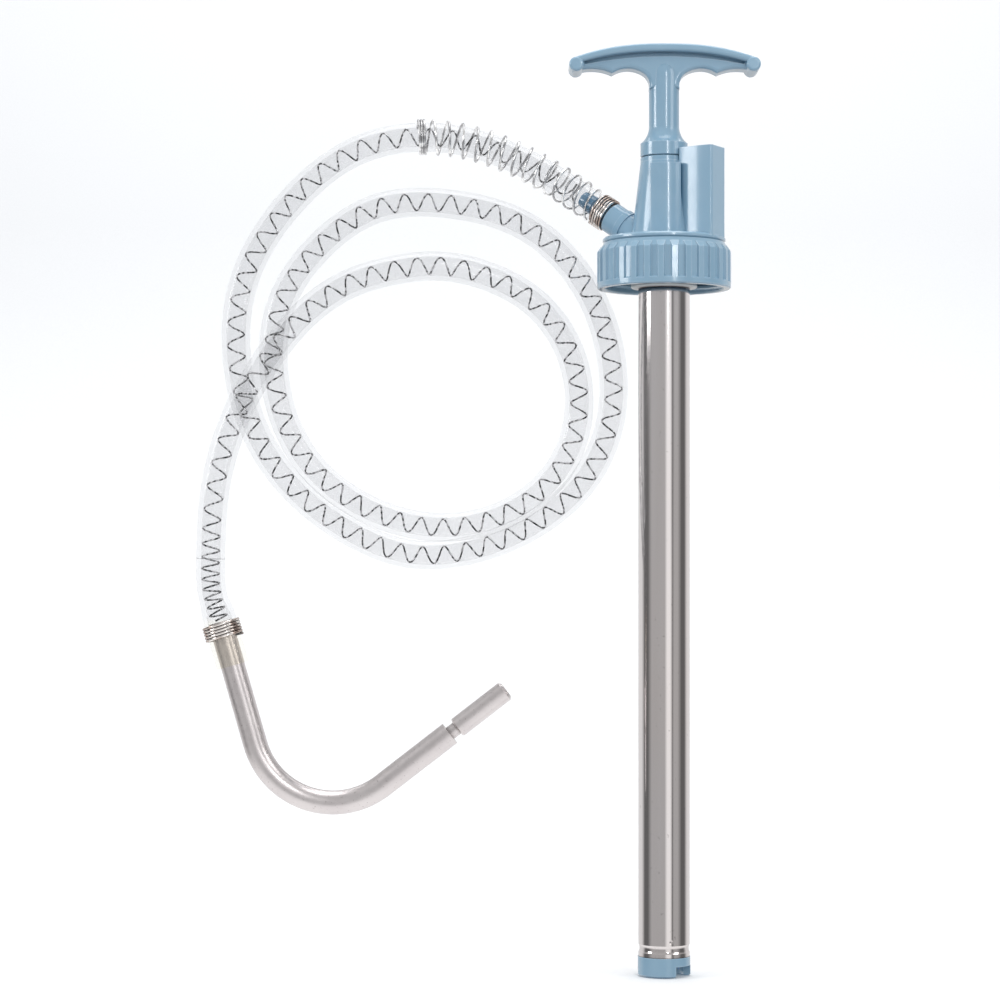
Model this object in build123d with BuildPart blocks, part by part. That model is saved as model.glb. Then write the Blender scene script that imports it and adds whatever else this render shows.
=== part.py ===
from build123d import *
import math
import os

os.makedirs("parts", exist_ok=True)

# Hand lift pump for a drum.  Millimetres, +Z up.  The origin lies on the pump's axis, in the
# plane where the gasket sits on the drum's neck; +X runs along the T handle at rest.

# ---- driving dimensions ----------------------------------------------------------------------
TUBE_OD = 32.0           # suction tube, 1-1/4 inch
TUBE_WALL = 0.8
TUBE_END = -433.6        # lower end of the tube
ROD_D = 10.0             # piston rod
ROD_STUD_D = 6.0         # thin lower end that carries the piston
RUN = 0.05               # radial clearance of a running fit

NUT_OD = 82.8            # ring nut for the drum's neck
NUT_BOTTOM = -20.5
NUT_PLATE = (3.0, 7.9)   # its top plate
NUT_RIBS = 30
NECK_PITCH = 6.0         # coarse thread of the neck

FLANGE_R = 38.0          # head flange above the ring nut
COLUMN_TOP = 58.0
COLUMN_R = (20.0, 14.6)  # tapered column, at the flange and at the top
WING_TURN = -30.0        # spout holder: degrees from +X, towards -Y
OUTLET_RISE = 33.4       # the outlet climbs at this angle, opposite the holder

HANDLE_HALF = 59.0       # half the width of the T handle
HANDLE_TOP = 130.0
SKIRT_Z = 61.4           # lower edge of the handle's skirt

HOSE_OD = 18.0
HOSE_ID = 12.1
SPOUT_OD = 15.0
SPOUT_WALL = 1.2
SPOUT_BEND_R = 50.0
SPOUT_BEND = 111.7       # degrees turned by the spout's bend
SPOUT_RUN = 53.0         # straight length after the bend
TIP_D = 13.0
TIP_LENGTH = 38.5

tube_r = TUBE_OD / 2
bore_r = tube_r - TUBE_WALL
rod_r = ROD_D / 2


def finish(builder, name):
    """Label a finished piece and write its STEP."""
    builder.part.label = name
    export_step(builder.part, "parts/" + name + ".step")


def unit(v):
    return v / v.length


# ---- head ------------------------------------------------------------------------------------
# Directions of the spout holder and of the outlet, seen from above.
wing_a = math.radians(WING_TURN)
wing_dir = Vector(math.cos(wing_a), math.sin(wing_a), 0)
rise = math.radians(OUTLET_RISE)
out_dir = Vector(-math.cos(wing_a) * math.cos(rise), -math.sin(wing_a) * math.cos(rise),
                 math.sin(rise))
out_root = Vector(-math.cos(wing_a) * 12, -math.sin(wing_a) * 12, 9.8)
out_plane = Plane(origin=out_root, z_dir=out_dir)
OUT_BASE = 29.5          # outlet's thick part, measured along its own axis
BARB_LENGTH = 24.0
barb_root = out_root + out_dir * OUT_BASE

wing_plane = Plane(origin=(0, 0, 0), x_dir=wing_dir, z_dir=(0, 0, 1))
WING_OUT = 37.3          # outer face of the holder, from the axis
WING_HALF = 9.7
WING_TOP = 65.4
SKIRT_ROOM = 15.4        # the holder is hollowed to this radius round the handle's skirt

with BuildPart() as pump_head:
    # outlet's thick base, a collar on it and the hose barb
    with BuildSketch(out_plane):
        Circle(9.65)
    extrude(amount=OUT_BASE)
    with BuildSketch(out_plane.offset(OUT_BASE - 13)):
        Circle(10.3)
    extrude(amount=4)
    with BuildSketch(Plane(origin=barb_root, x_dir=wing_plane.y_dir,
                           z_dir=-out_dir.cross(wing_plane.y_dir))):
        with BuildLine():
            Polyline((0, 0), (5.4, 0), (5.4, 4), (6.0, 4), (5.4, 9), (6.0, 9), (5.4, 14),
                     (6.0, 14), (4.9, BARB_LENGTH), (0, BARB_LENGTH), close=True)
        make_face()
    revolve(axis=Axis(barb_root, out_dir))
    # spout holder: its sides swell outwards from the column to two upright corners
    with BuildSketch(wing_plane.offset(9)):
        with BuildLine():
            near = ThreePointArc((8, -5.0), (24, -9.1), (WING_OUT, -WING_HALF))
            outer = Line(near @ 1, (WING_OUT, WING_HALF))
            far = ThreePointArc(outer @ 1, (24, 9.1), (8, 5.0))
            Line(far @ 1, near @ 0)
        make_face()
    extrude(amount=WING_TOP - 9)
    fillet(pump_head.edges().filter_by(Axis.Z).sort_by(Axis((0, 0, 0), wing_dir))[-2:],
           radius=1.6)
    with Locations((0, 0, COLUMN_TOP)):
        Cylinder(SKIRT_ROOM, 30, align=(Align.CENTER, Align.CENTER, Align.MIN),
                 mode=Mode.SUBTRACT)
    # nothing of the outlet or the holder hangs below the flange
    with Locations((0, 0, -32)):
        Box(140, 140, 80, mode=Mode.SUBTRACT)
    # column, flange and the spigot that carries the collar
    with BuildSketch(Plane.XZ):
        with BuildLine():
            Polyline((0, -12), (17, -12), (17, 2.9), (18, 2.9), (18, 8), (37, 8), (FLANGE_R, 9),
                     (FLANGE_R, 10.2), (37, 11.2), (COLUMN_R[0] + 1.5, 11.2),
                     (COLUMN_R[0], 13), (COLUMN_R[1], COLUMN_TOP), (0, COLUMN_TOP), close=True)
        make_face()
    revolve(axis=Axis.Z)
    # upright pilasters on the front and the back of the column
    with BuildSketch(Plane.XY.offset(10)):
        with BuildLine():
            front = Line((-9.3, 0), (-9.3, -17.6))
            arc = ThreePointArc(front @ 1, (0, -20.6), (9.3, -17.6))
            Line(arc @ 1, (9.3, 0))
            Line((9.3, 0), front @ 0)
        make_face()
        mirror(about=Plane.XZ)
    extrude(amount=COLUMN_TOP - 12.4)
    # pocket of the holder, open at the top
    with BuildSketch(wing_plane.offset(WING_TOP)):
        with Locations((27.5, 0)):
            RectangleRounded(15.6, 14.6, 4)
    extrude(amount=-46, mode=Mode.SUBTRACT)
    # chamber over the tube, gland pocket, tube seat and the outlet's bore
    with BuildSketch(Plane.XZ):
        with BuildLine():
            Polyline((0, -13), (tube_r, -13), (tube_r, 4), (13, 4), (13, 43), (7, 43), (7, 46),
                     (11, 46), (11, COLUMN_TOP + 2), (0, COLUMN_TOP + 2), close=True)
        make_face()
    revolve(axis=Axis.Z, mode=Mode.SUBTRACT)
    with BuildSketch(out_plane.offset(0.5)):
        Circle(3.6)
    extrude(amount=OUT_BASE + BARB_LENGTH + 1, mode=Mode.SUBTRACT)
finish(pump_head, "pump_head")

with BuildPart() as gland_cap:
    with BuildSketch(Plane.XZ):
        with BuildLine():
            Polyline((rod_r + RUN, 50), (11, 50), (11, 58), (COLUMN_R[1], 58),
                     (COLUMN_R[1], 60.4), (COLUMN_R[1] - 0.6, 61), (rod_r + RUN, 61),
                     close=True)
        make_face()
    revolve(axis=Axis.Z)
finish(gland_cap, "gland_cap")

with BuildPart() as rod_seal:
    with BuildSketch(Plane.XZ):
        with BuildLine():
            Polyline((rod_r + RUN, 46), (11, 46), (11, 50), (8, 50), (7, 48.4), (6.4, 50),
                     (rod_r + RUN, 50), close=True)
        make_face()
    revolve(axis=Axis.Z)
finish(rod_seal, "rod_seal")

# ---- tube and its compression joint ------------------------------------------------------------
with BuildPart() as tube_collar:
    with BuildSketch(Plane.XZ):
        with BuildLine():
            Polyline((17, 2.9), (19.9, 2.9), (20.5, 2.2), (20.5, -19.2), (19.9, -20),
                     (tube_r, -20), (tube_r, -16.5), (18, -15.5), (18, -12), (17, -12),
                     close=True)
        make_face()
    revolve(axis=Axis.Z)
    # grip grooves
    with PolarLocations(21.2, 24):
        Cylinder(1.2, 14, align=(Align.CENTER, Align.CENTER, Align.MAX), mode=Mode.SUBTRACT)
finish(tube_collar, "tube_collar")

with BuildPart() as tube_o_ring:
    with BuildSketch(Plane.XZ):
        with Locations((tube_r + 1, -13.4)):
            Ellipse(1.0, 1.4)
    revolve(axis=Axis.Z)
finish(tube_o_ring, "tube_o_ring")

BEAD_Z = -428.5          # groove rolled into the tube to hold the foot valve
with BuildPart() as pump_tube:
    with BuildSketch(Plane.XZ):
        with BuildLine():
            Polyline((bore_r, TUBE_END), (bore_r, BEAD_Z - 2.5))
            ThreePointArc((bore_r, BEAD_Z - 2.5), (bore_r - 0.7, BEAD_Z), (bore_r, BEAD_Z + 2.5))
            Polyline((bore_r, BEAD_Z + 2.5), (bore_r, 4), (tube_r, 4), (tube_r, BEAD_Z + 2.5))
            ThreePointArc((tube_r, BEAD_Z + 2.5), (tube_r - 0.7, BEAD_Z), (tube_r, BEAD_Z - 2.5))
            Polyline((tube_r, BEAD_Z - 2.5), (tube_r, TUBE_END), (bore_r, TUBE_END))
        make_face()
    revolve(axis=Axis.Z)
    # three shallow stake marks just above the rolled groove
    with Locations(Plane.XY.offset(-423.4)):
        with PolarLocations(tube_r + 1.6, 3, start_angle=-77):
            Sphere(2.0, mode=Mode.SUBTRACT)
finish(pump_tube, "pump_tube")

# ---- foot valve --------------------------------------------------------------------------------
FOOT_R = 16.3
FOOT_BOTTOM = -445.4
SEAT_Z = -429.0
BALL_R = 8.0
SEAT_R = 6.5
ball_z = SEAT_Z + math.sqrt(BALL_R ** 2 - SEAT_R ** 2)
PIN_Z = ball_z + BALL_R + 5.4
with BuildPart() as foot_valve_body:
    with BuildSketch(Plane.XZ):
        with BuildLine():
            Polyline((SEAT_R, SEAT_Z), (11, SEAT_Z), (11, PIN_Z + 3.6), (bore_r, PIN_Z + 3.6),
                     (bore_r, BEAD_Z + 2.5))
            ThreePointArc((bore_r, BEAD_Z + 2.5), (bore_r - 0.7, BEAD_Z), (bore_r, BEAD_Z - 2.5))
            Polyline((bore_r, BEAD_Z - 2.5), (bore_r, TUBE_END), (FOOT_R, TUBE_END),
                     (FOOT_R, FOOT_BOTTOM + 0.8), (FOOT_R - 0.8, FOOT_BOTTOM),
                     (12, FOOT_BOTTOM), (12, -437.5), (SEAT_R, SEAT_Z - 2.5), (SEAT_R, SEAT_Z))
        make_face()
    revolve(axis=Axis.Z)
    # diametral slot at the bottom, so that the foot draws liquid when it stands on the floor
    with BuildSketch(Plane.XY.offset(FOOT_BOTTOM)):
        Rectangle(50, 16.3, rotation=-36)
    extrude(amount=6.5, mode=Mode.SUBTRACT)
    # cross hole for the pin over the ball
    with Locations(Location((0, 0, PIN_Z), (90, 0, 0))):
        Cylinder(1.25, 40, mode=Mode.SUBTRACT)
finish(foot_valve_body, "foot_valve_body")

with BuildPart() as foot_ball:
    with Locations((0, 0, ball_z + 0.02)):
        Sphere(BALL_R)
finish(foot_ball, "foot_ball")

with BuildPart() as foot_ball_pin:
    with Locations(Location((0, 0, PIN_Z), (90, 0, 0))):
        Cylinder(1.25, 2 * bore_r - 0.6)
finish(foot_ball_pin, "foot_ball_pin")

# ---- ring nut and gasket -----------------------------------------------------------------------
nut_r = NUT_OD / 2
with BuildPart() as ring_nut:
    with BuildSketch(Plane.XZ):
        with BuildLine():
            Polyline((18 + 0.08, NUT_PLATE[0]), (36.6, NUT_PLATE[0]), (36.6, NUT_BOTTOM + 1),
                     (37.2, NUT_BOTTOM), (nut_r - 0.8, NUT_BOTTOM), (nut_r, NUT_BOTTOM + 0.8),
                     (nut_r, NUT_BOTTOM + 3.6), (nut_r - 1.3, NUT_BOTTOM + 4.6),
                     (nut_r - 1.3, 2.8), (37.5, NUT_PLATE[1]), (18 + 0.08, NUT_PLATE[1]),
                     close=True)
        make_face()
    revolve(axis=Axis.Z)
    # wide flat ribs for the hand, chamfered at the top along with the nut's shoulder
    with BuildSketch(Plane.XY.offset(NUT_BOTTOM + 3.4)):
        with PolarLocations(nut_r - 1.2, NUT_RIBS):
            Trapezoid(5.6, 2.4, 66, rotation=-90)
    extrude(amount=24.4)
    with BuildSketch(Plane.XZ):
        with BuildLine():
            Polyline((37.2, 8.3), (nut_r + 0.05, 2.2), (nut_r + 0.05, NUT_BOTTOM),
                     (46, NUT_BOTTOM), (46, 8.3), close=True)
        make_face()
    revolve(axis=Axis.Z, mode=Mode.SUBTRACT)
    # coarse thread for the neck
    with BuildLine() as nut_helix:
        Helix(pitch=NECK_PITCH, height=15.0, radius=36.3, center=(0, 0, NUT_BOTTOM + 3))
    helix_start = nut_helix.line @ 0
    with BuildSketch(Plane(origin=helix_start, x_dir=(1, 0, 0), z_dir=nut_helix.line % 0)):
        with BuildLine():
            Polyline((0.6, -1.9), (0.6, 1.9), (-2.0, 0.7), (-2.0, -0.7), close=True)
        make_face()
    sweep(path=nut_helix.line, is_frenet=True)
finish(ring_nut, "ring_nut")

with BuildPart() as neck_gasket:
    with BuildSketch(Plane.XY):
        Circle(34.0)
        Circle(22.0, mode=Mode.SUBTRACT)
    extrude(amount=NUT_PLATE[0])
    chamfer(neck_gasket.edges().group_by(Axis.Z)[0], length=0.4)
finish(neck_gasket, "neck_gasket")

# ---- handle ------------------------------------------------------------------------------------
STEM_R = 9.35
GRIP_HALF = 7.6          # half thickness of the grip's web
LIP_HALF = 12.5          # half depth of the lip along its top
KNOB = (54.6, 117.2)     # centre of the round end
KNOB_R = 4.45
HANDLE_PIN_Z = 79.0
with BuildPart() as handle:
    # web of the grip: arched above, scalloped for the fingers below
    with BuildSketch(Plane.XZ):
        with BuildLine():
            top = Spline((0, 127), (34, 124.6), (55, 119.4), tangents=((1, 0), (1, -0.3)))
            end = ThreePointArc(top @ 1, (58.2, 116.8), (56.4, 112.9))
            grip1 = ThreePointArc(end @ 1, (44, 115.0), (32.4, 112.2))
            grip2 = ThreePointArc(grip1 @ 1, (22.8, 115.2), (14.2, 113.0))
            throat = ThreePointArc(grip2 @ 1, (10.6, 109.8), (STEM_R, 103.0))
            floor = Line(throat @ 1, (0, 103.0))
            Line(floor @ 1, top @ 0)
        make_face()
        mirror(about=Plane.YZ)
    extrude(amount=GRIP_HALF, both=True)
    fillet(handle.edges().filter_by(lambda e: abs(abs(e.center().Y) - GRIP_HALF) < 0.01
                                    and e.center().Z < 116 and e.length > 5), radius=2.6)
    # stem with a domed head, flare and skirt
    with BuildSketch(Plane.XZ):
        with BuildLine():
            dome = ThreePointArc((0, 123.5), (6.6, 119.5), (STEM_R, 111))
            Line(dome @ 1, (STEM_R, 79.5))
            flare = ThreePointArc((STEM_R, 79.5), (10.9, 74.0), (14.65, 69.5))
            Polyline(flare @ 1, (14.65, SKIRT_Z + 0.4), (14.25, SKIRT_Z), (12.4, SKIRT_Z),
                     (12.4, 66), (10, 68.5), (0, 68.5), (0, 123.5))
        make_face()
    revolve(axis=Axis.Z)
    # long groove on both faces under the lip
    for side in (-1, 1):
        with BuildSketch(Plane.XZ.offset(side * 5.2)):
            with BuildLine():
                above = ThreePointArc((-48.5, 119.6), (0, 125.4), (48.5, 119.6))
                ThreePointArc(above @ 1, (49.4, 118.6), (48.2, 117.9))
                below = ThreePointArc((48.2, 117.9), (0, 122.6), (-48.2, 117.9))
                ThreePointArc(below @ 1, (-49.4, 118.6), above @ 0)
            make_face()
        extrude(amount=side * 10, mode=Mode.SUBTRACT)
    # lip along the top
    with BuildSketch(Plane.XZ):
        with BuildLine():
            upper = Spline((0, HANDLE_TOP), (34, 127.4), (56.0, 121.4),
                           tangents=((1, 0), (1, -0.36)))
            Line(upper @ 1, (55.2, 117.6))
            lower = Spline((55.2, 117.6), (34, 122.7), (0, 125.2), tangents=((-1, 0.3), (-1, 0)))
            Line(lower @ 1, upper @ 0)
        make_face()
        mirror(about=Plane.YZ)
    extrude(amount=LIP_HALF, both=True)
    fillet(handle.edges().filter_by(lambda e: abs(abs(e.center().Y) - LIP_HALF) < 0.01
                                    and e.length > 20), radius=1.7)
    # round knobs at both ends
    for side in (-1, 1):
        with BuildSketch(Plane(origin=(side * KNOB[0], 0, KNOB[1]), x_dir=(1, 0, 0),
                               z_dir=(0, 0, 1))):
            with BuildLine():
                Polyline((0, -LIP_HALF - 0.4), (KNOB_R - 1.6, -LIP_HALF - 0.4))
                ThreePointArc((KNOB_R - 1.6, -LIP_HALF - 0.4), (KNOB_R - 0.47, -LIP_HALF + 0.07),
                              (KNOB_R, -LIP_HALF + 1.2))
                Line((KNOB_R, -LIP_HALF + 1.2), (KNOB_R, LIP_HALF - 1.2))
                ThreePointArc((KNOB_R, LIP_HALF - 1.2), (KNOB_R - 0.47, LIP_HALF - 0.07),
                              (KNOB_R - 1.6, LIP_HALF + 0.4))
                Polyline((KNOB_R - 1.6, LIP_HALF + 0.4), (0, LIP_HALF + 0.4),
                         (0, -LIP_HALF - 0.4))
            make_face()
        revolve(axis=Axis((side * KNOB[0], 0, KNOB[1]), (0, 1, 0)))
    # blind hole for the rod; the pin's hole goes in from the back and stops short of the front
    with BuildSketch(Plane.XY.offset(60)):
        Circle(rod_r)
    extrude(amount=46, mode=Mode.SUBTRACT)
    with Locations(Location((0, 1.5, HANDLE_PIN_Z), (90, 0, 0))):
        Cylinder(1.5, 17, mode=Mode.SUBTRACT)
finish(handle, "handle")

with BuildPart() as handle_pin:
    with Locations(Location((0, 1.2, HANDLE_PIN_Z), (90, 0, 0))):
        Cylinder(1.5, 15.6)
    chamfer(handle_pin.edges().filter_by(GeomType.CIRCLE), length=0.3)
finish(handle_pin, "handle_pin")

# ---- rod and piston ----------------------------------------------------------------------------
ROD_SHOULDER = -378.0
ROD_END = -404.0
stud_r = ROD_STUD_D / 2
with BuildPart() as piston_rod:
    with BuildSketch(Plane.XZ):
        with BuildLine():
            Polyline((0, ROD_END), (stud_r - 0.6, ROD_END), (stud_r, ROD_END + 0.6),
                     (stud_r, ROD_SHOULDER), (rod_r, ROD_SHOULDER), (rod_r, 105.4),
                     (rod_r - 0.6, 106), (0, 106), close=True)
        make_face()
    revolve(axis=Axis.Z)
    with Locations(Location((0, 0, HANDLE_PIN_Z), (90, 0, 0))):
        Cylinder(1.5, 40, mode=Mode.SUBTRACT)
finish(piston_rod, "piston_rod")

PISTON_R = 14.6
GROOVE_R = 13.0
with BuildPart() as piston_body:
    with BuildSketch(Plane.XZ):
        with BuildLine():
            Polyline((stud_r, ROD_SHOULDER), (PISTON_R, ROD_SHOULDER), (PISTON_R, -384),
                     (GROOVE_R, -384), (GROOVE_R, -388), (PISTON_R, -388), (PISTON_R, -394.5),
                     (12.4, -394.5), (12.4, -388.5), (stud_r, -388.5), close=True)
        make_face()
    revolve(axis=Axis.Z)
    with BuildSketch(Plane.XY.offset(-390)):
        with PolarLocations(8.6, 6):
            Circle(2.4)
    extrude(amount=14, mode=Mode.SUBTRACT)
finish(piston_body, "piston_body")

with BuildPart() as piston_seal:
    with BuildSketch(Plane.XZ):
        with BuildLine():
            Polyline((GROOVE_R + RUN, -387.95), (bore_r - RUN, -387.95), (bore_r - RUN, -384.05),
                     (GROOVE_R + RUN, -384.05), close=True)
        make_face()
    revolve(axis=Axis.Z)
finish(piston_seal, "piston_seal")

with BuildPart() as piston_seat:
    with BuildSketch(Plane.XY.offset(-399.5)):
        Circle(PISTON_R)
        Circle(stud_r, mode=Mode.SUBTRACT)
        with PolarLocations(8.6, 6):
            Circle(2.2, mode=Mode.SUBTRACT)
    extrude(amount=5)
    chamfer(piston_seat.edges().group_by(Axis.Z)[0].sort_by(SortBy.LENGTH)[-1], length=1.0)
finish(piston_seat, "piston_seat")

with BuildPart() as piston_valve:
    with BuildSketch(Plane.XY.offset(-394.48)):
        Circle(11.8)
        Circle(stud_r + RUN, mode=Mode.SUBTRACT)
    extrude(amount=1.5)
finish(piston_valve, "piston_valve")

with BuildPart() as piston_nut:
    with BuildSketch(Plane.XY.offset(-403.6)):
        RegularPolygon(5.0, 6, major_radius=False)
        Circle(stud_r, mode=Mode.SUBTRACT)
    extrude(amount=4.1)
finish(piston_nut, "piston_nut")

# ---- spout -------------------------------------------------------------------------------------
# The spout lies in the XZ plane.  Its inlet runs down and to the right, the bend turns it up.
spout_r = SPOUT_OD / 2
inlet_dir = Vector(math.sin(math.radians(16)), 0, -math.cos(math.radians(16)))
inlet = Vector(-276.2, 0, -222.9)
bend_start = inlet + inlet_dir * 82.8
bend_centre = bend_start + inlet_dir.rotate(Axis.Y, -90) * SPOUT_BEND_R


def on_bend(angle):
    """Point of the bend's centreline, the given angle after its start."""
    return bend_centre + (bend_start - bend_centre).rotate(Axis.Y, -angle)


bend_end = on_bend(SPOUT_BEND)
tip_dir = inlet_dir.rotate(Axis.Y, -SPOUT_BEND)
spout_end = bend_end + tip_dir * SPOUT_RUN
SPOUT_INSET = 4.0        # the tube starts this far below the end of the hose's bore
spout_start = inlet + inlet_dir * SPOUT_INSET
with BuildLine() as spout_line:
    Line(spout_start, bend_start)
    ThreePointArc(bend_start, on_bend(SPOUT_BEND / 2), bend_end)
    Line(bend_end, spout_end)

with BuildPart() as spout_tube:
    with BuildSketch(Plane(origin=spout_start, x_dir=(0, 1, 0), z_dir=inlet_dir)):
        Circle(spout_r)
        Circle(spout_r - SPOUT_WALL, mode=Mode.SUBTRACT)
    sweep(path=spout_line.line)
finish(spout_tube, "spout_tube")

NECK = 5.6               # bare neck between the tube's end and the tip
with BuildPart() as nozzle_tip:
    with BuildSketch(Plane(origin=spout_end, x_dir=(0, 1, 0),
                           z_dir=Vector(0, 1, 0).cross(tip_dir))):
        with BuildLine():
            Polyline((2.2, -8), (spout_r - SPOUT_WALL, -8), (spout_r - SPOUT_WALL, 0),
                     (4.3, 0), (4.3, NECK), (TIP_D / 2 - 0.8, NECK), (TIP_D / 2, NECK + 0.8),
                     (TIP_D / 2, NECK + TIP_LENGTH - 1.6),
                     (TIP_D / 2 - 1.6, NECK + TIP_LENGTH), (3.2, NECK + TIP_LENGTH),
                     (3.2, NECK + TIP_LENGTH - 6), (4.2, NECK + TIP_LENGTH - 7),
                     (4.2, NECK + 8), (2.2, NECK + 6), close=True)
        make_face()
    revolve(axis=Axis(spout_end, tip_dir))
finish(nozzle_tip, "nozzle_tip")

with BuildPart() as drip_ball:
    with Locations(spout_end + tip_dir * (NECK + 8 + 2.9)):
        Sphere(3.0)
finish(drip_ball, "drip_ball")


def coil(frame_at, turns, radius, wire_r, steps=8):
    """Sweep a round wire along a helix laid around a path.

    frame_at(u) gives the path's point and two unit normals for u in 0..1, turns(u) the
    number of turns wound up to u and radius(u) the helix radius there.
    """
    total = turns(1.0)
    count = int(abs(total) * steps) + 1
    # equal steps of angle: find u for every angle by walking a fine table of turns(u)
    points = []
    u = 0.0
    fine = 1.0 / (count * 6)
    for k in range(count + 1):
        goal = total * k / count
        while turns(u) < goal and u < 1.0:
            u = min(1.0, u + fine)
        at, n, b = frame_at(u)
        angle = 2 * math.pi * turns(u)
        points.append(at + n * (radius(u) * math.cos(angle)) + b * (radius(u) * math.sin(angle)))
    with BuildLine() as line:
        Spline(*points)
    edge = line.edges()[0]
    spans = int(abs(total) / 14) + 1
    with BuildPart() as wire:
        # swept a dozen turns at a time along the one line
        for k in range(spans):
            span = edge.trim(k / spans, (k + 1) / spans)
            with BuildSketch(Plane(origin=span @ 0, z_dir=span % 0)):
                Circle(wire_r)
            sweep(path=Wire([span]), is_frenet=True)
    return wire


def straight_frame(origin, direction, length):
    """Frame along a straight axis."""
    n = unit(direction.cross(Vector(0, 1, 0)))
    b = direction.cross(n)
    return lambda u: (origin + direction * (length * u), n, b)


drip_start = spout_end + tip_dir * (NECK + 8 + 6.3)
DRIP_SPRING_LENGTH = TIP_LENGTH - 8 - 6.3 - 7.5
drip_spring = coil(straight_frame(drip_start, tip_dir, DRIP_SPRING_LENGTH),
                   lambda u: 7 * u, lambda u: 3.4, 0.35, steps=10)
finish(drip_spring, "drip_spring")

# ---- hose --------------------------------------------------------------------------------------
# Centreline: off the barb, two flat loops side by side behind the ring nut, then across the
# front of them and down to the spout.  The loops lie a little apart in Y where they touch.
CUFF = 32.0              # from the end of the hose's bore to the end of its cuff
hose_turn = inlet - inlet_dir * 6
HOSE_PATH = [
    (-108, 42, 73), (-149, 40, 80), (-190, 38, 72), (-234, 36, 38), (-264, 36, -13),
    (-268, 36, -62), (-256, 37, -108), (-232, 37, -143), (-200, 37, -168), (-160, 37, -184),
    (-121, 37, -182), (-81, 36, -166), (-48, 35, -137), (-31, 35, -95), (-34, 34, -48),
    (-53, 33, -7), (-89, 30, 24), (-133, 28, 36), (-179, 26, 33), (-216, 25, 8),
    (-239, 24, -27), (-244, 24, -66), (-236, 24, -103), (-218, 24, -132), (-191, 24, -153),
    (-160, 24, -165), (-126, 24, -167), (-90, 24, -155), (-63, 24, -129), (-52, 23, -92),
    (-59, 21, -55), (-80, 18, -27), (-109, 15, -11), (-139, 11, -5), (-168, 7, -8),
    (-198, 4, -18), (-224, 2, -37), (-250, 1, -70), (-271, 0, -114), (-280, 0, -160),
    (-281, 0, -187),
]
with BuildLine() as hose_line:
    Spline(barb_root, barb_root + out_dir * 9, barb_root + out_dir * 18,
           barb_root + out_dir * 27, barb_root + out_dir * 43, *HOSE_PATH,
           hose_turn - inlet_dir * 7, hose_turn)
hose_path = hose_line.wire()
HOSE_LENGTH = hose_path.length

SPANS = (0, 0.34, 0.67, 0.8, 0.9, 1)
hose_edge = hose_path.edges()[0]
with BuildPart() as hose:
    # swept span by span along the one centreline
    for span_start, span_end in zip(SPANS, SPANS[1:]):
        span = hose_edge.trim(span_start, span_end)
        with BuildSketch(Plane(origin=span @ 0, x_dir=Vector(0, 1, 0).cross(span % 0),
                               z_dir=span % 0)):
            Circle(HOSE_OD / 2)
            Circle(HOSE_ID / 2, mode=Mode.SUBTRACT)
        sweep(path=Wire([span]))
    # the end is stretched over the spout's tube
    with BuildSketch(Plane(origin=hose_turn, x_dir=(0, 1, 0),
                           z_dir=Vector(0, 1, 0).cross(inlet_dir))):
        with BuildLine():
            Polyline((HOSE_ID / 2 + 0.5, -2), (HOSE_OD / 2 + 0.3, -2), (HOSE_OD / 2 + 1.2, 5),
                     (HOSE_OD / 2 + 1.2, CUFF + 6), (spout_r + RUN, CUFF + 6),
                     (spout_r + RUN, 5.6), (HOSE_ID / 2 + 0.5, 3.6), close=True)
        make_face()
    revolve(axis=Axis(hose_turn, inlet_dir))
finish(hose, "hose")


def hose_frame(start, end):
    """Frame along the hose between two distances from the barb's shoulder.

    Past the end of the centreline it goes straight on, down into the cuff.
    """
    def frame(u):
        distance = start + (end - start) * u
        beyond = max(0.0, distance - HOSE_LENGTH)
        s = min(1.0, distance / HOSE_LENGTH)
        t = hose_path % s
        n = unit(t.cross(Vector(0, 1, 0)))
        return hose_path @ s + inlet_dir * beyond, n, t.cross(n)
    return frame


# loose wire helix in the bore, wound closer towards the spout
INNER_WIRE_R = 0.55
INNER_PITCH = 14.3
inner_start = BARB_LENGTH + 3
inner_end = HOSE_LENGTH + 8.5
inner_turns = (inner_end - inner_start) / INNER_PITCH
hose_inner_spring = coil(hose_frame(inner_start, inner_end),
                         lambda u: inner_turns * u + 5 * max(0.0, (u - 0.96) / 0.04) ** 2,
                         lambda u: HOSE_ID / 2 - 0.3 - INNER_WIRE_R, INNER_WIRE_R)
finish(hose_inner_spring, "hose_inner_spring")

# coil clamps of thick wire grip the hose on the barb and on the spout
CLAMP_WIRE_R = 0.9
CLAMP_TURNS = 5
CLAMP_LENGTH = CLAMP_TURNS * (2 * CLAMP_WIRE_R + 0.06)
barb_clamp = coil(straight_frame(barb_root + out_dir * 1.6, out_dir, CLAMP_LENGTH),
                  lambda u: CLAMP_TURNS * u,
                  lambda u: HOSE_OD / 2 + 0.03 + CLAMP_WIRE_R, CLAMP_WIRE_R, steps=12)
finish(barb_clamp, "barb_clamp")

spout_clamp = coil(straight_frame(inlet + inlet_dir * 5, inlet_dir, CLAMP_LENGTH),
                   lambda u: CLAMP_TURNS * u,
                   lambda u: HOSE_OD / 2 + 1.2 + 0.03 + CLAMP_WIRE_R, CLAMP_WIRE_R, steps=12)
finish(spout_clamp, "spout_clamp")

# anti-kink spring around the hose: open coils, closed at the far end
GUARD_WIRE_R = 0.75
GUARD_START = 13.5
GUARD_LENGTH = 127.5
GUARD_PITCH = 8.8
GUARD_CLOSED = 4.2 / GUARD_LENGTH


def guard_turns(u):
    """Turns wound along the guard spring: open, then nearly closed at the far end."""
    open_turns = min(u, 1 - GUARD_CLOSED) * GUARD_LENGTH / GUARD_PITCH
    closed_turns = max(0.0, u - 1 + GUARD_CLOSED) * GUARD_LENGTH / (2 * GUARD_WIRE_R + 0.1)
    return open_turns + closed_turns


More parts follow.
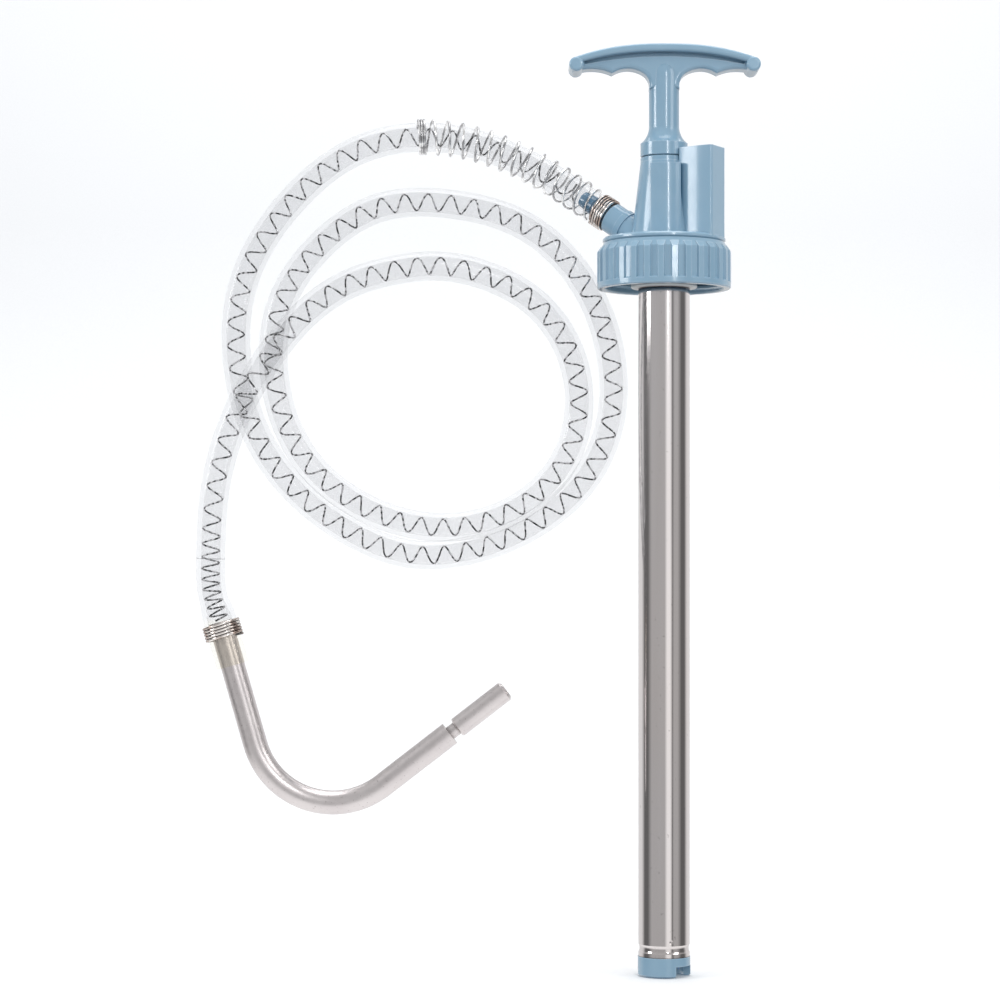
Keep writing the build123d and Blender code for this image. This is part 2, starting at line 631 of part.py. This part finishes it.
def guard_radius(u):
    """Helix radius of the guard spring: it widens over its first turns."""
    step = min(u * GUARD_LENGTH / 14.0, 1.0)
    return HOSE_OD / 2 + 0.1 + GUARD_WIRE_R + 0.7 * step


guard_spring = coil(hose_frame(GUARD_START, GUARD_START + GUARD_LENGTH), guard_turns,
                    guard_radius, GUARD_WIRE_R, steps=12)
finish(guard_spring, "guard_spring")
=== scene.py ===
import bpy
import math
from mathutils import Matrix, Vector


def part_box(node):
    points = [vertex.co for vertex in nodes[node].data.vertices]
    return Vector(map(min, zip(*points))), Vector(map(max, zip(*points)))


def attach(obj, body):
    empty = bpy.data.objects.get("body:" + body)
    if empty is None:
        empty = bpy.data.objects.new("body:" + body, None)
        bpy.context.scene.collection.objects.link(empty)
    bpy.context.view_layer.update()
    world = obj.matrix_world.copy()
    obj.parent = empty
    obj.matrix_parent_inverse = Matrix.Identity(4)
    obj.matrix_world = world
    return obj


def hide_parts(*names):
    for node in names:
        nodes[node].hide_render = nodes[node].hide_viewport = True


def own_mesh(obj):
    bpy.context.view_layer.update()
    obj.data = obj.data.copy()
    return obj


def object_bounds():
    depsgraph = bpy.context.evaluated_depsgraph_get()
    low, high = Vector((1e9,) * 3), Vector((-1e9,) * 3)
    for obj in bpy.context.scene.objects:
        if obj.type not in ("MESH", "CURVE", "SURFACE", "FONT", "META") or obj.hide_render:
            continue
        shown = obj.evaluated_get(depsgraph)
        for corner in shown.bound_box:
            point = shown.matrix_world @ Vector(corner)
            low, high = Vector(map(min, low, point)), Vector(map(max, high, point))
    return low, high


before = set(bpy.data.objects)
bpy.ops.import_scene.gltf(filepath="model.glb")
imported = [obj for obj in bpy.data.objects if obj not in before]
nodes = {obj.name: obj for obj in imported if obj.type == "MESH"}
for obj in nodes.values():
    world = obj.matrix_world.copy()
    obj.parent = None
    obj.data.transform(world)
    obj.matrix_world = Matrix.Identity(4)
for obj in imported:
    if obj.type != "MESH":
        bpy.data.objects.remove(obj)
cad_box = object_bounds()


# ---- material helpers --------------------------------------------------------------------------
def linear(r, g, b):
    """Colour given as 0-255 screen values, turned into the linear values nodes want."""
    def one(v):
        v = v / 255
        return v / 12.92 if v <= 0.04045 else ((v + 0.055) / 1.055) ** 2.4
    return (one(r), one(g), one(b), 1.0)


class Nodes:
    """Short ways to add and join the nodes of an emptied tree."""

    def __init__(self, tree):
        self.tree = tree
        self.tree.nodes.clear()
        self.coordinates = self.add("ShaderNodeTexCoord")
        self.coord = self.coordinates.outputs["Object"]

    def add(self, kind, **settings):
        node = self.tree.nodes.new(kind)
        for key, value in settings.items():
            setattr(node, key, value)
        return node

    def join(self, a, b):
        self.tree.links.new(a, b)

    def put(self, socket, value):
        """Give an input either a link or a plain value."""
        if isinstance(value, bpy.types.NodeSocket):
            self.join(value, socket)
        else:
            socket.default_value = value

    def noise(self, scale, detail=3.0, rough=0.5, stretch=(1, 1, 1), distort=0.0):
        place = self.add("ShaderNodeMapping")
        place.inputs["Scale"].default_value = stretch
        self.join(self.coord, place.inputs["Vector"])
        node = self.add("ShaderNodeTexNoise")
        node.inputs["Scale"].default_value = scale
        node.inputs["Detail"].default_value = detail
        node.inputs["Roughness"].default_value = rough
        node.inputs["Distortion"].default_value = distort
        self.join(place.outputs[0], node.inputs["Vector"])
        return node.outputs["Fac"]

    def ramp(self, value, stops):
        """Map a value through stops of (position, grey or colour)."""
        node = self.add("ShaderNodeValToRGB")
        ramp = node.color_ramp
        while len(ramp.elements) < len(stops):
            ramp.elements.new(0.5)
        for element, (position, colour) in zip(ramp.elements, stops):
            element.position = position
            element.color = colour if isinstance(colour, tuple) else (colour, colour, colour, 1)
        self.join(value, node.inputs[0])
        return node.outputs[0]

    def math(self, how, a, b=0.0, c=0.0):
        node = self.add("ShaderNodeMath", operation=how)
        self.put(node.inputs[0], a)
        self.put(node.inputs[1], b)
        self.put(node.inputs[2], c)
        return node.outputs[0]

    def mix(self, fac, a, b):
        node = self.add("ShaderNodeMix", data_type="RGBA")
        self.put(node.inputs["Factor"], fac)
        self.put(node.inputs[6], a)
        self.put(node.inputs[7], b)
        return node.outputs[2]

    def bump(self, height, strength, distance, under=None):
        node = self.add("ShaderNodeBump")
        node.inputs["Strength"].default_value = strength
        node.inputs["Distance"].default_value = distance
        self.join(height, node.inputs["Height"])
        if under is not None:
            self.join(under, node.inputs["Normal"])
        return node.outputs[0]

    def shade_mask(self, distance, low, high):
        """Occlusion mask for painting shade: 1 deep in gaps and corners, 0 on open surfaces."""
        shade = self.add("ShaderNodeAmbientOcclusion", samples=6)
        shade.inputs["Distance"].default_value = distance
        return self.ramp(shade.outputs["AO"], [(low, 1.0), (high, 0.0)])

    def two(self, fac, a, b):
        """Mix of two surface shaders."""
        node = self.add("ShaderNodeMixShader")
        self.put(node.inputs[0], fac)
        self.join(a, node.inputs[1])
        self.join(b, node.inputs[2])
        return node.outputs[0]

    def edges(self, radius, low, high):
        """1 along sharp outer and inner edges, 0 on open surfaces."""
        bevel = self.add("ShaderNodeBevel", samples=4)
        bevel.inputs["Radius"].default_value = radius
        plain = self.add("ShaderNodeNewGeometry").outputs["Normal"]
        dot = self.add("ShaderNodeVectorMath", operation="DOT_PRODUCT")
        self.join(bevel.outputs[0], dot.inputs[0])
        self.join(plain, dot.inputs[1])
        return self.ramp(dot.outputs["Value"], [(low, 1.0), (high, 0.0)])

    def principled(self, **inputs):
        surface = self.add("ShaderNodeBsdfPrincipled")
        for key, value in inputs.items():
            self.put(surface.inputs[key.replace("_", " ")], value)
        return surface.outputs[0]


class Mat(Nodes):
    """A node material under construction."""

    def __init__(self, name):
        self.material = bpy.data.materials.new(name)
        self.material.use_nodes = True
        super().__init__(self.material.node_tree)
        self.out = self.add("ShaderNodeOutputMaterial")

    def surface(self, shader):
        self.join(shader, self.out.inputs["Surface"])

    def shade(self, **inputs):
        """Finish with a Principled surface."""
        self.surface(self.principled(**inputs))


# ---- materials ---------------------------------------------------------------------------------
def blue_plastic():
    """Glossy injection-moulded plastic: soft flow clouds, fine orange peel, dust, painted shade in
    crease lines and corners, outer edges lightened as worn edges and as a painted highlight.
    """
    m = Mat("moulded_blue")
    cloud = m.noise(16, 4)
    flow = m.noise(38, 3, distort=1.4)
    tone = m.mix(cloud, linear(134, 168, 190), linear(145, 177, 197))
    tone = m.mix(m.ramp(flow, [(0.45, 0.0), (0.75, 0.30)]), tone, linear(152, 181, 199))
    # Painted shade: an occlusion mask, used below to darken crease lines, corners and joins between
    # parts.
    painted_crease_shade = m.shade_mask(0.0022, 0.25, 0.75)
    # Outer edges lightened: partly worn edges, partly a painted highlight along the corners; concave
    # edges are left out.
    open_edges = m.math("MULTIPLY", m.edges(0.0011, 0.86, 0.985), m.math("SUBTRACT", 1.0, painted_crease_shade))
    edge_wear_and_highlight = m.math("MULTIPLY", open_edges, m.ramp(m.noise(170, 3), [(0.35, 0.25), (0.65, 0.75)]))
    tone = m.mix(edge_wear_and_highlight, tone, linear(190, 211, 224))
    # Painted shade in crease lines, corners and joins, a darker blue.
    tone = m.mix(painted_crease_shade, tone, linear(74, 126, 158))
    specks = m.ramp(m.noise(620, 3, 0.7), [(0.68, 0.0), (0.76, 0.35)])
    tone = m.mix(specks, tone, linear(110, 140, 162))
    scuffs = m.noise(120, 6, 0.75, distort=0.4)
    rough = m.ramp(scuffs, [(0.35, 0.13), (0.75, 0.26)])
    normal = m.bump(m.noise(900, 2), 0.05, 0.0001)
    normal = m.bump(cloud, 0.10, 0.0012, normal)
    m.shade(Base_Color=tone, Roughness=rough, Normal=normal, IOR=1.52, Coat_Weight=0.30,
            Coat_Roughness=0.07, Subsurface_Weight=0.04, Subsurface_Radius=(0.002, 0.003, 0.004),
            Subsurface_Scale=1.0)
    return m.material


def bright_tube():
    """Drawn, polished tube: long fine draw lines, faint waviness, a few dull spots, painted shade in
    gaps and corners near other parts.
    """
    m = Mat("bright_tube")
    streak = m.noise(230, 4, 0.6, stretch=(1, 1, 0.010))
    broad = m.noise(46, 3, stretch=(1, 1, 0.04))
    spots = m.ramp(m.noise(420, 2), [(0.70, 0.0), (0.76, 1.0)])
    warm = m.noise(9, 2, stretch=(1, 1, 0.5))
    tone = m.mix(warm, linear(232, 222, 218), linear(226, 226, 230))
    tone = m.mix(m.ramp(broad, [(0.35, 0.45), (0.7, 0.0)]), tone, linear(206, 199, 196))
    tone = m.mix(m.math("MULTIPLY", spots, 0.4), tone, linear(150, 146, 142))
    # Painted shade: the tube darkens toward near-black in gaps and corners close to other parts, from
    # occlusion.
    tone = m.mix(m.math("MULTIPLY", m.shade_mask(0.003, 0.72, 0.96), 0.85), tone, linear(58, 52, 54))
    rough = m.ramp(streak, [(0.3, 0.05), (0.7, 0.13)])
    rough = m.math("ADD", rough, m.math("MULTIPLY", spots, 0.12))
    normal = m.bump(streak, 0.10, 0.0002)
    normal = m.bump(m.noise(26, 2, stretch=(1, 1, 0.35)), 0.10, 0.0012, normal)
    m.shade(Base_Color=tone, Metallic=1.0, Roughness=rough, Normal=normal)
    return m.material


def satin_aluminium(name, neck):
    """Tumbled aluminium: dull haze, fine pits, edges worn bright; a neck is polished and darkened with
    painted shade in its groove.
    """
    m = Mat(name)
    brushed = m.noise(330, 4, 0.65)
    haze = m.noise(38, 5, 0.6)
    tone = m.mix(haze, linear(204, 197, 198), linear(230, 225, 224))
    pits = m.ramp(m.noise(700, 2), [(0.66, 0.0), (0.72, 1.0)])
    tone = m.mix(m.math("MULTIPLY", pits, 0.45), tone, linear(150, 143, 141))
    tone = m.mix(m.math("MULTIPLY", m.edges(0.0005, 0.90, 0.99), 0.5), tone, linear(244, 240, 236))
    rough = m.ramp(brushed, [(0.25, 0.27), (0.8, 0.40)])
    normal = m.bump(brushed, 0.14, 0.0002)
    normal = m.bump(haze, 0.12, 0.0010, normal)
    if neck:
        # Painted shade: the neck groove is darkened from occlusion, and the same mask lowers the
        # roughness there for a polished look.
        neck_shade_and_polish = m.shade_mask(0.006, 0.45, 0.80)
        tone = m.mix(m.math("MULTIPLY", neck_shade_and_polish, 0.75), tone, linear(92, 82, 80))
        rough = m.math("MULTIPLY", rough, m.math("MULTIPLY_ADD", neck_shade_and_polish, -0.7, 1.0))
    m.shade(Base_Color=tone, Metallic=1.0, Roughness=rough, Normal=normal)
    return m.material


def wire(name, light, dark, rough, dash=130, painted_gap_shade=0.0):
    """Drawn spring wire, its tone changing along the length in light and dark stretches, partly uneven
    tone and partly painted glints; an optional strength paints near-black shade between close turns.
    """
    m = Mat(name)
    drawn = m.noise(520, 3)
    tone_and_glint_stretch = m.noise(dash, 2)
    # Light and dark stretches along the wire: uneven tone and painted glints, with the bright dashes
    # on the dark inner spring wire standing in for reflections.
    tone = m.mix(m.ramp(tone_and_glint_stretch, [(0.44, 0.0), (0.58, 1.0)]), linear(*dark), linear(*light))
    # Painted shade: near-black between close turns, from occlusion.
    if painted_gap_shade:
        tone = m.mix(m.math("MULTIPLY", m.shade_mask(0.0016, 0.45, 0.90), painted_gap_shade), tone, linear(14, 13, 14))
    m.shade(Base_Color=tone, Metallic=1.0, Normal=m.bump(drawn, 0.2, 0.0001),
            Roughness=m.ramp(drawn, [(0.3, rough), (0.8, rough + 0.12)]))
    return m.material


def plain_steel():
    """Turned steel with fine tool rings across the length."""
    m = Mat("turned_steel")
    turned = m.noise(260, 4, stretch=(1, 1, 6))
    tone = m.mix(turned, linear(196, 194, 192), linear(222, 220, 217))
    m.shade(Base_Color=tone, Metallic=1.0, Roughness=m.ramp(turned, [(0.3, 0.16), (0.8, 0.28)]),
            Normal=m.bump(turned, 0.10, 0.0001))
    return m.material


def clear_hose():
    """Clear soft PVC: greyer through two walls than through one, a little milky, the cuff aged."""
    m = Mat("clear_pvc")
    haze = m.noise(60, 4, 0.6)
    normal = m.bump(m.noise(150, 3), 0.10, 0.0006)
    geometry = m.add("ShaderNodeNewGeometry")
    entering = m.math("SUBTRACT", 1.0, geometry.outputs["Backfacing"])
    height = m.add("ShaderNodeSeparateXYZ")
    m.join(m.coord, height.inputs[0])
    cuff_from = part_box("spout_clamp")[1].z
    cuff_depth = m.math("SUBTRACT", cuff_from, height.outputs["Z"])
    aged = m.ramp(m.math("MULTIPLY", cuff_depth, 60.0), [(0.0, 0.0), (0.5, 1.0)])
    wall = m.mix(haze, linear(242, 242, 243), linear(247, 247, 247))
    wall = m.mix(aged, wall, linear(254, 252, 245))
    clear = m.add("ShaderNodeBsdfTransparent")
    m.join(m.mix(entering, linear(255, 255, 255), wall), clear.inputs["Color"])
    milk = m.principled(Base_Color=m.mix(haze, linear(222, 223, 224), linear(236, 236, 236)),
                        Roughness=m.ramp(haze, [(0.3, 0.16), (0.8, 0.32)]), IOR=1.45, Normal=normal)
    cloudy = m.math("MULTIPLY", entering, m.ramp(haze, [(0.30, 0.06), (0.75, 0.13)]))
    body = m.two(cloudy, clear.outputs[0], milk)
    gloss = m.add("ShaderNodeBsdfGlossy")
    gloss.inputs["Color"].default_value = linear(250, 250, 250)
    gloss.inputs["Roughness"].default_value = 0.10
    m.join(normal, gloss.inputs["Normal"])
    glancing = m.add("ShaderNodeFresnel")
    glancing.inputs["IOR"].default_value = 1.38
    m.join(normal, glancing.inputs["Normal"])
    shine = m.math("MULTIPLY", m.math("MULTIPLY", glancing.outputs[0], 0.5), entering)
    m.surface(m.two(shine, body, gloss.outputs[0]))
    return m.material


def black_rubber():
    m = Mat("black_rubber")
    bloom = m.noise(160, 5, 0.6)
    m.shade(Base_Color=m.mix(bloom, linear(30, 30, 31), linear(58, 58, 60)),
            Roughness=m.ramp(bloom, [(0.3, 0.55), (0.8, 0.75)]), Normal=m.bump(bloom, 0.25, 0.0003))
    return m.material


def white_nylon():
    m = Mat("white_nylon")
    cloud = m.noise(55, 4)
    m.shade(Base_Color=m.mix(cloud, linear(222, 222, 218), linear(238, 238, 235)),
            Roughness=m.ramp(cloud, [(0.3, 0.36), (0.8, 0.5)]),
            Normal=m.bump(m.noise(500, 2), 0.12, 0.0002),
            Subsurface_Weight=0.15, Subsurface_Radius=(0.003, 0.003, 0.003))
    return m.material


blue = blue_plastic()
rubber = black_rubber()
nylon = white_nylon()
steel = plain_steel()
guard_wire = wire("guard_spring_wire", (250, 250, 250), (176, 176, 178), 0.22)
# Clamp wire: painted near-black shade between its close turns.
clamp_wire = wire("clamp_wire", (238, 232, 228), (168, 150, 140), 0.10, painted_gap_shade=0.97)
# Inner spring wire: near-black, with bright dashes painted on as glints.
inner_wire = wire("inner_spring_wire", (214, 214, 216), (18, 18, 20), 0.28, dash=420)

FINISH = {
    blue: ("pump_head", "gland_cap", "foot_valve_body", "ring_nut", "handle"),
    rubber: ("rod_seal", "tube_o_ring", "neck_gasket", "piston_seal", "piston_valve"),
    nylon: ("tube_collar", "piston_body", "piston_seat"),
    steel: ("foot_ball", "foot_ball_pin", "handle_pin", "piston_rod", "piston_nut", "drip_ball"),
    satin_aluminium("spout_aluminium", neck=False): ("spout_tube",),
    satin_aluminium("nozzle_aluminium", neck=True): ("nozzle_tip",),
    guard_wire: ("guard_spring", "drip_spring"),
    clamp_wire: ("barb_clamp", "spout_clamp"),
    inner_wire: ("hose_inner_spring",),
    bright_tube(): ("pump_tube",),
    clear_hose(): ("hose",),
}
for material, names in FINISH.items():
    for name in names:
        mesh = nodes[name].data
        mesh.materials.clear()
        mesh.materials.append(material)

# ---- the drip spring, copied into its own coil object and carried with the spout ----------------
drip_spring = bpy.data.objects.new("drip_spring_coil", nodes["drip_spring"].data.copy())
bpy.context.scene.collection.objects.link(drip_spring)
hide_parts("drip_spring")
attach(drip_spring, "spout")
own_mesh(drip_spring)

# ---- floor, light, camera ----------------------------------------------------------------------
low, high = cad_box
floor_mesh = bpy.data.meshes.new("floor")
reach = 6.0
sweep_back = 2.6
sweep_radius = 0.9
sweep_steps = 12
wall_height = 5.0
floor_z = low.z - 0.0005
profile = [(-reach, 0.0), (sweep_back, 0.0)]
for k in range(1, sweep_steps + 1):
    angle = math.pi / 2 * k / sweep_steps
    profile.append((sweep_back + sweep_radius * math.sin(angle), sweep_radius * (1 - math.cos(angle))))
profile.append((sweep_back + sweep_radius, wall_height))
points = []
for y, z in profile:
    points += [(-reach, y, floor_z + z), (reach, y, floor_z + z)]
faces = [(2 * k, 2 * k + 1, 2 * k + 3, 2 * k + 2) for k in range(len(profile) - 1)]
floor_mesh.from_pydata(points, [], faces)
for polygon in floor_mesh.polygons:
    polygon.use_smooth = True
floor = bpy.data.objects.new("floor", floor_mesh)
bpy.context.scene.collection.objects.link(floor)
paper = Mat("studio_paper")
fibre = paper.noise(300, 3)
paper.shade(Base_Color=paper.mix(fibre, linear(238, 238, 238), linear(244, 244, 244)), Roughness=0.75,
            Normal=paper.bump(fibre, 0.03, 0.0002))
floor_mesh.materials.append(paper.material)
# The metal and the plastic see the studio all round them, down to their feet, not the paper.
floor.visible_glossy = False
floor.visible_diffuse = False


def area_light(name, place, aim, size, power, colour=(1, 1, 1)):
    """A soft rectangular lamp at place, facing aim; size in metres, power in watts."""
    light = bpy.data.lights.new(name, "AREA")
    light.shape = "RECTANGLE"
    light.size, light.size_y = size
    light.energy = power
    light.color = colour
    lamp = bpy.data.objects.new(name, light)
    bpy.context.scene.collection.objects.link(lamp)
    lamp.location = place
    lamp.rotation_mode = "QUATERNION"
    lamp.rotation_quaternion = (Vector(aim) - Vector(place)).to_track_quat("-Z", "Y")


centre = (low + high) / 2
area_light("key", (-2.17, -0.58, 0.52), (0, 0, 0), (0.72, 0.7), 13)
area_light("strip", (0.46, -1.75, 0.485), (0, 0, 0.1), (0.11, 0.63), 4.4)
area_light("fill", (1.7, -1.0, 0.8), centre, (0.8, 1.0), 7, (1.0, 0.99, 0.98))
area_light("top", (0.0, 0.2, 2.2), centre, (1.8, 1.4), 22)
area_light("paper_wash", (0.0, 1.6, 1.9), (0.0, 3.0, 0.2), (3.0, 0.8), 30)

# Pale studio all round, darker above.  Mirror-like surfaces see a plain studio at eye level: a pale
# wall behind, a black flag at each side, grey between, and one tall soft box right of the camera.
world = bpy.data.worlds.new("studio")
bpy.context.scene.world = world
world.use_nodes = True
sky = Nodes(world.node_tree)
split = sky.add("ShaderNodeSeparateXYZ")
sky.join(sky.coordinates.outputs["Generated"], split.inputs[0])
bearing = sky.math("ARCTAN2", split.outputs["X"], sky.math("MULTIPLY", split.outputs["Y"], -1.0))
WALL, FLAG, GREY, SOFT_BOX = 0.85, 0.15, 0.50, 1.05
# bearing from the camera's side in degrees, brightness; the same on both sides but for the soft box
BANDS = [(-180, WALL), (-120, WALL), (-100, FLAG), (-80, FLAG), (-60, GREY), (0, GREY), (10, SOFT_BOX),
         (25, SOFT_BOX), (35, FLAG), (45, GREY), (60, GREY), (80, FLAG), (100, FLAG), (120, WALL),
         (180, WALL)]
bands = sky.ramp(sky.math("MULTIPLY_ADD", bearing, 1 / (2 * math.pi), 0.5),
                 [(degrees / 360 + 0.5, value) for degrees, value in BANDS])
upward = sky.math("MULTIPLY_ADD", split.outputs["Z"], 0.5, 0.5)
above_and_below = sky.ramp(upward, [(0.0, 1.15), (0.30, 1.10), (0.5, 0.70), (0.70, 0.52), (1.0, 0.60)])
level = sky.ramp(sky.math("ABSOLUTE", split.outputs["Z"]), [(0.28, 1.0), (0.55, 0.0)])
mirrored = sky.add("ShaderNodeBackground")
sky.join(sky.mix(level, above_and_below, bands), mirrored.inputs["Color"])
soft = sky.add("ShaderNodeBackground")
sky.join(sky.ramp(upward, [(0.30, linear(178, 182, 188)), (0.55, linear(228, 231, 235)),
                           (1.0, linear(236, 238, 241))]), soft.inputs["Color"])
seen_by_gloss = sky.add("ShaderNodeLightPath").outputs["Is Glossy Ray"]
result = sky.add("ShaderNodeOutputWorld")
sky.join(sky.two(seen_by_gloss, soft.outputs[0], mirrored.outputs[0]), result.inputs["Surface"])

# Level camera in front of the object, with the view shifted up.
bpy.context.scene.view_settings.view_transform = "Standard"
camera_data = bpy.data.cameras.new("camera")
camera_data.sensor_width = 36.0
camera_data.lens = 102.2
camera_data.shift_y = 0.078
camera_data.clip_end = 50
camera = bpy.data.objects.new("camera", camera_data)
bpy.context.scene.collection.objects.link(camera)
camera.location = (-0.1017, -1.76, -0.1995)
camera.rotation_euler = (math.radians(90), 0, 0)
bpy.context.scene.camera = camera
